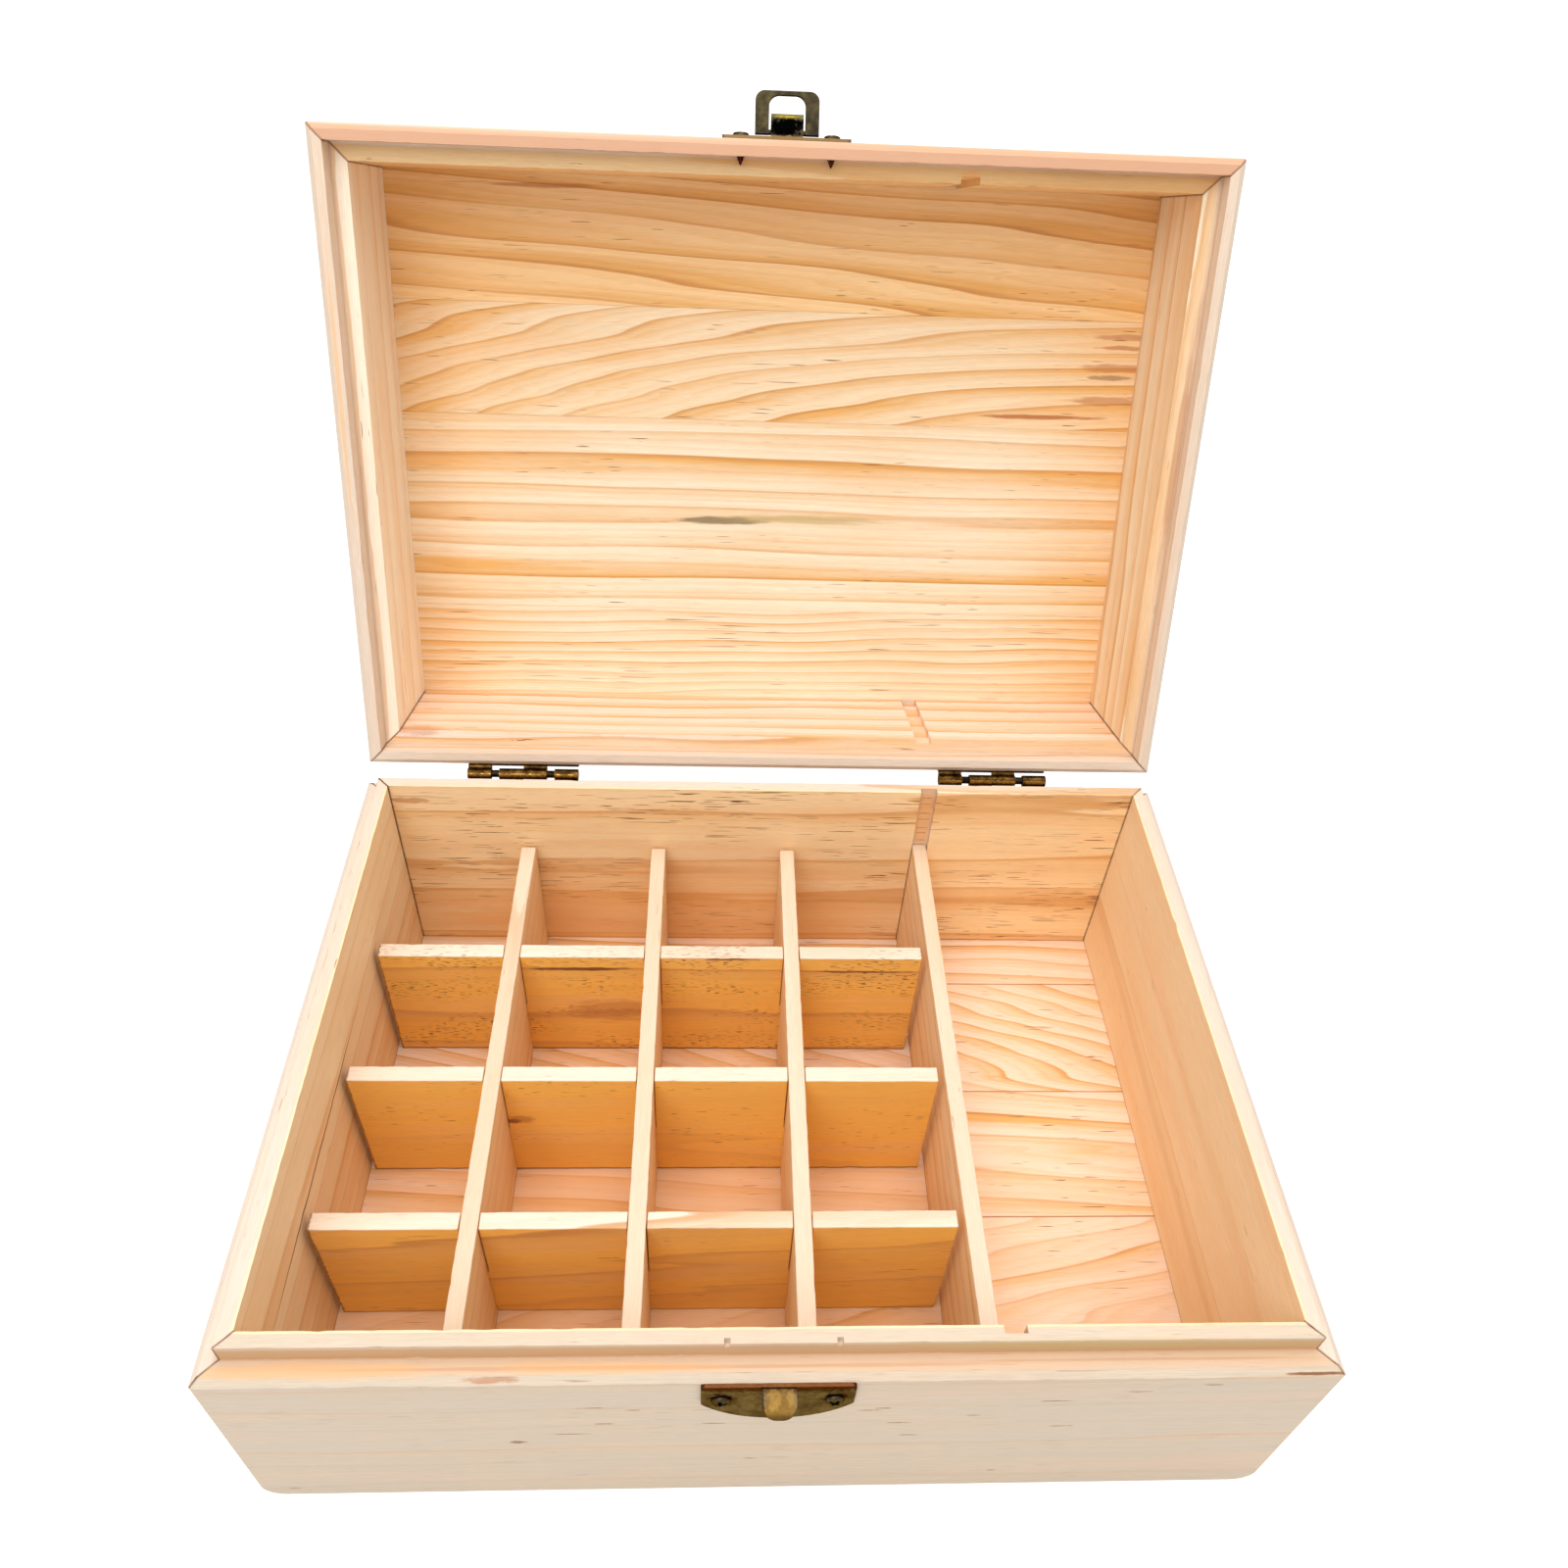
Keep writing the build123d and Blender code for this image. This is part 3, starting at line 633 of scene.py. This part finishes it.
def antique(
    name, dark, middle, rubbed, rub=0.5, roughness=0.38, seed=0,
    opened=Matrix.Identity(4), marks=(),
):
    """Antique plating: a dark patina rubbed back on the edges; painted shade in the sunk parts.
    """
    material, shade, output = blank(name)
    point = shut_place(shade, opened)
    moved = shade.vector("ADD", point, (seed * 11.0, seed * 5.0, seed * 3.0))

    def grain(size, detail=3):
        sockets = {"Vector": moved, "Scale": 1 / size, "Detail": detail}
        return shade.node("TexNoise", sockets=sockets)

    cloud, speck, scratch = grain(CLOUD_SIZE), grain(SPECK_SIZE), grain(SCRATCH_SIZE, 6)
    edge = shade.node("Attribute", {"attribute_name": "worn"}, output="Fac")
    wear = edge * 0.75 + (cloud - 0.5) * 1.0 + (scratch - 0.5) * 0.8 + (rub - 0.5)
    colour = (cloud * 0.6 + speck * 0.6).between(0.4, 0.8).mix(dark, middle)
    colour = wear.between(0.15, 0.75).mix(colour, rubbed)
    colour = marked(colour, point, marks, lambda reach: (scratch - 0.5) * 1.2)
    # Painted shade: the sunk parts, such as the bottoms of the screws' cross recesses, go black
    sunk = shade.node("Attribute", {"attribute_name": "sunk"}, output="Fac")
    colour = sunk.between(0.0, 0.5).mix(colour, SHADE_BLACK)
    skin = shade.node("BsdfPrincipled", sockets={
        "Base Color": colour,
        "Metallic": 1.0,
        "Specular Tint": PATINA_SHEEN,
        "Roughness": roughness + (speck - 0.5) * 0.35 + (scratch - 0.5) * 0.25,
        "Normal": shade.node("Bump", sockets={
            "Strength": 0.35, "Distance": PATINA_RELIEF / 1000,
            "Height": speck * 0.6 + scratch * 0.6,
        }),
    })
    shade.tree.links.new(skin.socket, output.inputs["Surface"])
    return material


# Painted highlight: a brass line along the front of the knuckles, where the lamp's reflection
# lies
KNUCKLE_HIGHLIGHT = (0, 87.85, 69.9)
hinge_bronze = antique(
    "hinge_bronze", BRONZE_DARK, BRONZE_BROWN, BRONZE_RUBBED, rub=0.1, roughness=0.3,
    marks=((KNUCKLE_HIGHLIGHT, (WHOLE, 0.8, 0.8), BRASS_HIGHLIGHT, 0.9),),
)
# The pins' near-black tones are partly painted shade of the gaps between the knuckles
pin_steel = antique("pin_steel", SHADE_BLACK, STEEL_DARK, STEEL_RUBBED, rub=0.1, seed=2)
for side in ("left", "right"):
    for leaf in ("base", "lid"):
        struck(f"hinge_{side}_{leaf}_leaf", hinge_bronze)
    struck(f"hinge_{side}_pin", pin_steel)


# Screws
# Twelve small pan-head wood screws with a cross recess, bronzed like the plates. Those of
# the latch come out of the lid's thin rim with their dark points.
SCREW_HEAD_R = 2.1
SCREW_HEAD_H = 0.9
SCREW_HEAD_STEPS = 5
SCREW_SHANK_R = 1.1
THREAD_PITCH = 0.7
THREAD_DEPTH = 0.22
SCREW_L = 7.0
SCREW_TIP_L = 2.2
SCREW_SIDES = 32
SCREW_CREASE = 40
CROSS_L = 2.8
CROSS_W = 0.84
CROSS_DEPTH = 0.65
CROSS_TAPER = 0.8
HINGE_CENTRES = (-73.75, 70.7)
HINGE_SCREW_ASIDE = 10.5
HINGE_SCREW_DROP = 7.6
HINGE_LEAF_Y = 87.9
HINGE_Z = 68.9
KEEPER_SCREWS = ((-12.3, 12), (11.7, 55))
KEEPER_SCREW_Z = 59.5
PLATE_Y = -87.8
FACING_FRONT = -1
FACING_BACK = 1


def wood_screw():
    """One screw, head up on z = 0, in millimetres; "sunk" is 1 at the bottom of its cross."""
    bm = bmesh.new()
    depths = bm.verts.layers.float.new("sunk")
    profile = [(0.0, SCREW_HEAD_H)]
    for i in range(1, SCREW_HEAD_STEPS + 1):
        turn = math.pi / 2 * i / SCREW_HEAD_STEPS
        dome = 0.2 + 0.8 * math.cos(turn) ** 0.8
        profile.append((SCREW_HEAD_R * math.sin(turn) ** 0.9, SCREW_HEAD_H * dome))
    profile += [(SCREW_HEAD_R, 0.0), (SCREW_SHANK_R, 0.0)]
    for i in range(1, int(SCREW_L / THREAD_PITCH * 2)):
        z = -i * THREAD_PITCH / 2
        taper = min(1, (SCREW_L + z) / SCREW_TIP_L) ** 0.75
        profile.append(((SCREW_SHANK_R - THREAD_DEPTH * (i % 2)) * taper, z))
    profile.append((0.0, -SCREW_L))
    chain = [bm.verts.new((r, 0, z)) for r, z in profile]
    edges = [bm.edges.new(pair) for pair in zip(chain, chain[1:])]
    bmesh.ops.spin(
        bm, geom=[*chain, *edges], cent=(0, 0, 0), axis=(0, 0, 1), angle=math.tau,
        steps=SCREW_SIDES, use_merge=True,
    )
    bmesh.ops.remove_doubles(bm, verts=bm.verts, dist=WELD * 10)
    for axis in ((1, 0, 0), (0, 1, 0)):
        for place in (-CROSS_L, -CROSS_W, CROSS_W, CROSS_L):
            head = [f for f in bm.faces if f.calc_center_median().z > 0.1]
            around = {v for f in head for v in f.verts} | {e for f in head for e in f.edges}
            bmesh.ops.bisect_plane(
                bm, geom=[*around, *head], dist=WELD, plane_co=Vector(axis) * place / 2,
                plane_no=axis,
            )
    arms = []
    for face in bm.faces:
        centre = face.calc_center_median()
        across = sorted((abs(centre.x), abs(centre.y)))
        if centre.z > 0.3 and across[0] < CROSS_W / 2 and across[1] < CROSS_L / 2:
            arms.append(face)
    sunk = bmesh.ops.extrude_face_region(bm, geom=arms)["geom"]
    bmesh.ops.delete(bm, geom=arms, context="FACES")
    for vert in sunk:
        if isinstance(vert, bmesh.types.BMVert):
            floor = SCREW_HEAD_H - CROSS_DEPTH
            vert.co = Vector((vert.co.x * CROSS_TAPER, vert.co.y * CROSS_TAPER, floor))
            vert[depths] = 1
    bmesh.ops.recalc_face_normals(bm, faces=bm.faces)
    return bm


def screws(node, places, material, turn=Matrix.Identity(4)):
    """Screws at places in the shut box: x, y, z, the side they face, and their twist."""
    whole = bmesh.new()
    whole.verts.layers.float.new("sunk")
    for x, y, z, facing, twist in places:
        bm = wood_screw()
        turned = Matrix.Rotation(-facing * math.pi / 2, 4, "X")
        turned = turned @ Matrix.Rotation(math.radians(twist), 4, "Z")
        seated = turn @ Matrix.Scale(0.001, 4) @ Matrix.Translation((x, y, z)) @ turned
        bmesh.ops.transform(bm, verts=bm.verts, matrix=seated)
        part = finished(bm, "one_screw")
        whole.from_mesh(part)
        bpy.data.meshes.remove(part)
    smoothed(whole, SCREW_CREASE)
    dressed(node, finished(whole, node + "_turned"), material)


SCREW_TONES = ((0.04, 0.029, 0.015, 1), (0.08, 0.06, 0.03, 1), (0.17, 0.13, 0.06, 1))
screw_bronze = antique("screw_bronze", *SCREW_TONES, rub=0.3, seed=5)
hinge_xs = [centre + side * HINGE_SCREW_ASIDE for centre in HINGE_CENTRES for side in (-1, 1)]
screws("hinge_base_screws", [
    (x, HINGE_LEAF_Y, HINGE_Z - HINGE_SCREW_DROP, FACING_BACK, 37 * i)
    for i, x in enumerate(hinge_xs)
], screw_bronze)
screws("keeper_screws", [
    (x, PLATE_Y, KEEPER_SCREW_Z, FACING_FRONT, twist) for x, twist in KEEPER_SCREWS
], screw_bronze)


# Keeper
# A half-moon plate on the front wall with a curved bill, under which the loop snaps. The
# bill is rubbed bright, with brighter spots that are partly painted highlights, and painted
# shade on its lower front, in its crease and on its left flank; the plate is a greyer bronze
# with a reddish top edge and a painted shadow above each screw.
KEEPER_TONES = ((0.056, 0.043, 0.030, 1), (0.100, 0.082, 0.058, 1), (0.16, 0.125, 0.07, 1))
KEEPER_X = -0.3
RED_DARK = (0.030, 0.010, 0.003, 1)
RED_RUBBED = (0.14, 0.05, 0.018, 1)
GILT = (0.14, 0.075, 0.016, 1)
# Bill: spots partly rubbed, partly painted highlight; painted shade below, in the crease, on a
# flank
GILT_RUBBED_HIGHLIGHT = (0.24, 0.14, 0.036, 1)
GILT_SHADED = (0.075, 0.052, 0.014, 1)
CREASE_SHADE = (0.018, 0.008, 0.003, 1)
FLANK_SHADE = (0.02, 0.014, 0.008, 1)
keeper_bronze = antique(
    "keeper_bronze", *KEEPER_TONES, rub=0.12, roughness=0.42, seed=7, marks=(
        ((KEEPER_X, -87.4, 66.6), (40, 2.0, 3.0), RED_DARK, 0.8),
        ((KEEPER_X, -87.4, 67.0), (40, 2.0, 0.5), RED_RUBBED, 0.8),
        # Painted shadows: a black crescent above each screw head
        *(((x, PLATE_Y, 60.7), (3.3, 1.2, 3.0), SHADE_BLACK, 0.95) for x, _ in KEEPER_SCREWS),
        ((KEEPER_X, -91.5, 65.4), (5.5, 5.2, 3.2), GILT, 0.95),
        # Brighter spots on the bill's top: partly rubbed, partly painted highlights
        ((-1.4, -90.3, 65.8), (1.9, 2.6, 1.8), GILT_RUBBED_HIGHLIGHT, 0.6),
        ((2.0, -89.8, 65.8), (1.2, 2.0, 1.8), GILT_RUBBED_HIGHLIGHT, 0.55),
        # Painted shade: the bill's lower front, its crease and its left flank
        ((KEEPER_X, -94.2, 62.6), (5.0, 2.6, 1.9), GILT_SHADED, 0.9),
        ((KEEPER_X, -93.6, 64.6), (5.0, 0.7, 0.9), CREASE_SHADE, 0.8),
        ((-4.1, -91.0, 65.0), (0.9, 4.5, 5.0), FLANK_SHADE, 0.9),
    ),
)
struck("keeper_plate", keeper_bronze)


# Lid walls
# Mitred like the base's, with a rabbet inside the rim that takes the base's lip. The lid
# stands open 110.5 degrees about its hinges, and its grain is laid out in the shut lid.
OPEN_ANGLE = math.radians(110.5)
HINGE_LINE = Vector((0, 0.0897, 0.0689))
lid_turn = Matrix.Translation(HINGE_LINE) @ Matrix.Rotation(-OPEN_ANGLE, 4, "X")
lid_turn = lid_turn @ Matrix.Translation(-HINGE_LINE)
PINE_TAN = (0.66, 0.33, 0.18, 1)
# The lid's hollow, whose deeper tone is partly painted shade
RABBET = ((-115.2, -82.2, 70), (115.2, 82.2, 200))
LID_MARKS = {
    "lid_front_wall": (
        ((0, -83.6, 68.6), (WHOLE, 4.6, 3.2), PINE_TAN, 0.82),
        ((GROOVE_X, -80.6, 77), (4.0, 1.6, 5), STAIN_AMBER, 0.9),
    ),
    "lid_back_wall": (
        ((GROOVE_X, 80.6, 92), (3.4, 1.2, 22), STAIN_AMBER, 0.35),
        ((47.0, 80.3, 106), (0.8, 1.4, 7), PINE_FLECK_AND_SHADE, 0.8),
        ((-106, INNER_Y, 76), (9, 2, 5), STAIN_AND_SHADE_RED, 0.45),
        ((109, INNER_Y, 72), (4, 2, 0.5), PINE_FLECK_AND_SHADE, 0.9),
    ),
    "lid_left_wall": (((-117.5, -24, 68.7), (0.8, 42, 0.8), STAIN_AMBER, 0.5),),
    "lid_right_wall": (((115, -12, 74.4), (1.3, 48, 0.8), STAIN_AND_SHADE_RED, 0.5),),
}
for node, along, pith, ring, seed, mellow_shaded, contrast in (
    ("lid_front_wall", "x", (-FAR, -60), 12, 51, (0.82, 0.57, 0.29, 1), 0.5),
    ("lid_back_wall", "x", (FAR, 60), 9, 52, (0.93, 0.76, 0.64, 1), 0.8),
    ("lid_left_wall", "y", (-FAR, -60), 11, 53, (0.99, 0.87, 0.70, 1), 0.5),
    ("lid_right_wall", "y", (FAR, 190), 10, 54, (0.93, 0.79, 0.59, 1), 0.7),
):
    board(node, along, pine(
        node + "_pine", along, "z", pith, lean=(0.0, 0.0), ring=ring, contrast=contrast,
        flecks=0.2, seed=seed, opened=lid_turn, hollow=RABBET, mellow_shaded=mellow_shaded, joint=CORNER,
        marks=LID_MARKS[node],
    ))


# Lid boards
# Four pine strips of different widths glued edge to edge, each from another part of a log.
# The first has wide amber bands, the second arched ones, and the third a grey pith streak.
LID_FACE = 110.15
PITH_OLIVE = (0.26, 0.20, 0.10, 1)


def streak(x, y, reach_x, reach_y, hue, depth):
    """A stain along the grain of the lid's inner face."""
    return (x, y, LID_FACE), (reach_x, reach_y, 4), hue, depth


# Each strip's tone deepens towards its ends, by the lid's walls, as painted shade
lid_boards = (
    dict(
        pith=(-FAR, 60), lean=(0.068, 0.0), ring=7.5, contrast=1.2, flecks=0.5, end_shade=0.25,
        mellow_shaded=(1.0, 0.69, 0.36, 1), marks=(streak(-66, -75.4, 24, 0.8, STAIN_AND_SHADE_RED, 0.7),),
    ),
    dict(
        pith=(61, 66), lean=(0.0, 0.336), ring=5.6, wave=2, contrast=0.9, flecks=0.5, end_shade=0.3,
        mellow_shaded=(0.96, 0.76, 0.51, 1), marks=(
            streak(108, -39.4, 14, 1.3, STAIN_AND_SHADE_RED, 0.6),
            streak(106, -36.2, 10, 0.8, STAIN_AND_SHADE_RED, 0.7),
            streak(106, -30.2, 14, 1.5, STAIN_AND_SHADE_RED, 0.6),
            streak(104, -27.4, 9, 0.9, PINE_FLECK_AND_SHADE, 0.6),
            streak(104, -20.5, 15, 1.7, STAIN_AND_SHADE_RED, 0.6),
            streak(84, -15.2, 22, 0.9, STAIN_AND_SHADE_RED, 0.95),
        ),
    ),
    dict(
        pith=(19.5, 112), lean=(0.0, 0.0), ring=7.6, wave=2, contrast=1.0, flecks=0.7, end_shade=0.3,
        mellow_shaded=(0.96, 0.81, 0.60, 1), marks=(
            streak(-14, 19.3, 19, 1.5, PITH_OLIVE, 0.9),
            streak(10, 18.6, 30, 1.6, STAIN_OLIVE, 0.7),
        ),
    ),
    dict(
        pith=(FAR, 60), lean=(-0.02, 0.0), ring=3.4, wave=4, contrast=0.75, flecks=1.1, dash=17,
        end_shade=0.35, mellow_shaded=(0.97, 0.79, 0.58, 1),
    ),
)
for i, cut in enumerate(lid_boards, 1):
    board(f"lid_board_{i}", "x", pine(
        f"lid_pine_{i}", "x", "y", seed=60 + i, opened=lid_turn, **cut,
    ), ease=FLOOR_EASE, ragged=FLOOR_RAGGED)


# Latch
# A half-moon plate screwed to the lid's rim. Its tab is rolled round the bar of a flat loop,
# which hangs by its own weight and here lies a little forward of the open lid.
LATCH_X = 0.5
LATCH_SCREWS = ((-11.2, 30), (12.2, 70))
LATCH_SCREW_Z = 73.05
POINT_Y = -80.6
# The tab's face is painted black as shade, and its rolled end brass as a painted highlight
TAB_SHADE_BLACK = (0.001, 0.001, 0.001, 1)
TAB_BRASS_HIGHLIGHT = (0.27, 0.20, 0.03, 1)
EDGE_TAN = (0.28, 0.17, 0.07, 1)
POINT_RED = (0.06, 0.010, 0.005, 1)
LOOP_TONES = ((0.018, 0.014, 0.009, 1), (0.034, 0.027, 0.017, 1), (0.07, 0.055, 0.022, 1))
latch_bronze = antique(
    "latch_bronze", *KEEPER_TONES, rub=0.12, roughness=0.42, seed=8, opened=lid_turn, marks=(
        # Painted shade on the tab's face, turned down from the light, and a painted highlight on
        # its rolled end
        ((LATCH_X, -90.2, 69.9), (7, 5.0, 1.4), TAB_SHADE_BLACK, 1.0),
        ((LATCH_X, -93.5, 71.3), (6, 2.2, 2.4), TAB_BRASS_HIGHLIGHT, 0.95),
        ((LATCH_X, -87.3, 70.2), (40, 0.9, 1.0), EDGE_TAN, 0.9),
    ),
)
loop_bronze = antique("loop_bronze", *LOOP_TONES, rub=0.1, roughness=0.42, seed=9)
latch_screw_bronze = antique(
    "latch_screw_bronze", *SCREW_TONES, rub=0.3, seed=6, opened=lid_turn,
    marks=[((x, POINT_Y, LATCH_SCREW_Z), (3, 3, 3), POINT_RED, 1.0) for x, _ in LATCH_SCREWS],
)
struck("latch_plate", latch_bronze)
struck("latch_loop", loop_bronze)
screws("hinge_lid_screws", [
    (x, HINGE_LEAF_Y, HINGE_Z + HINGE_SCREW_DROP, FACING_BACK, 61 * i)
    for i, x in enumerate(hinge_xs)
], screw_bronze, lid_turn)
screws("latch_screws", [
    (x, PLATE_Y, LATCH_SCREW_Z, FACING_FRONT, twist) for x, twist in LATCH_SCREWS
], latch_screw_bronze, lid_turn)
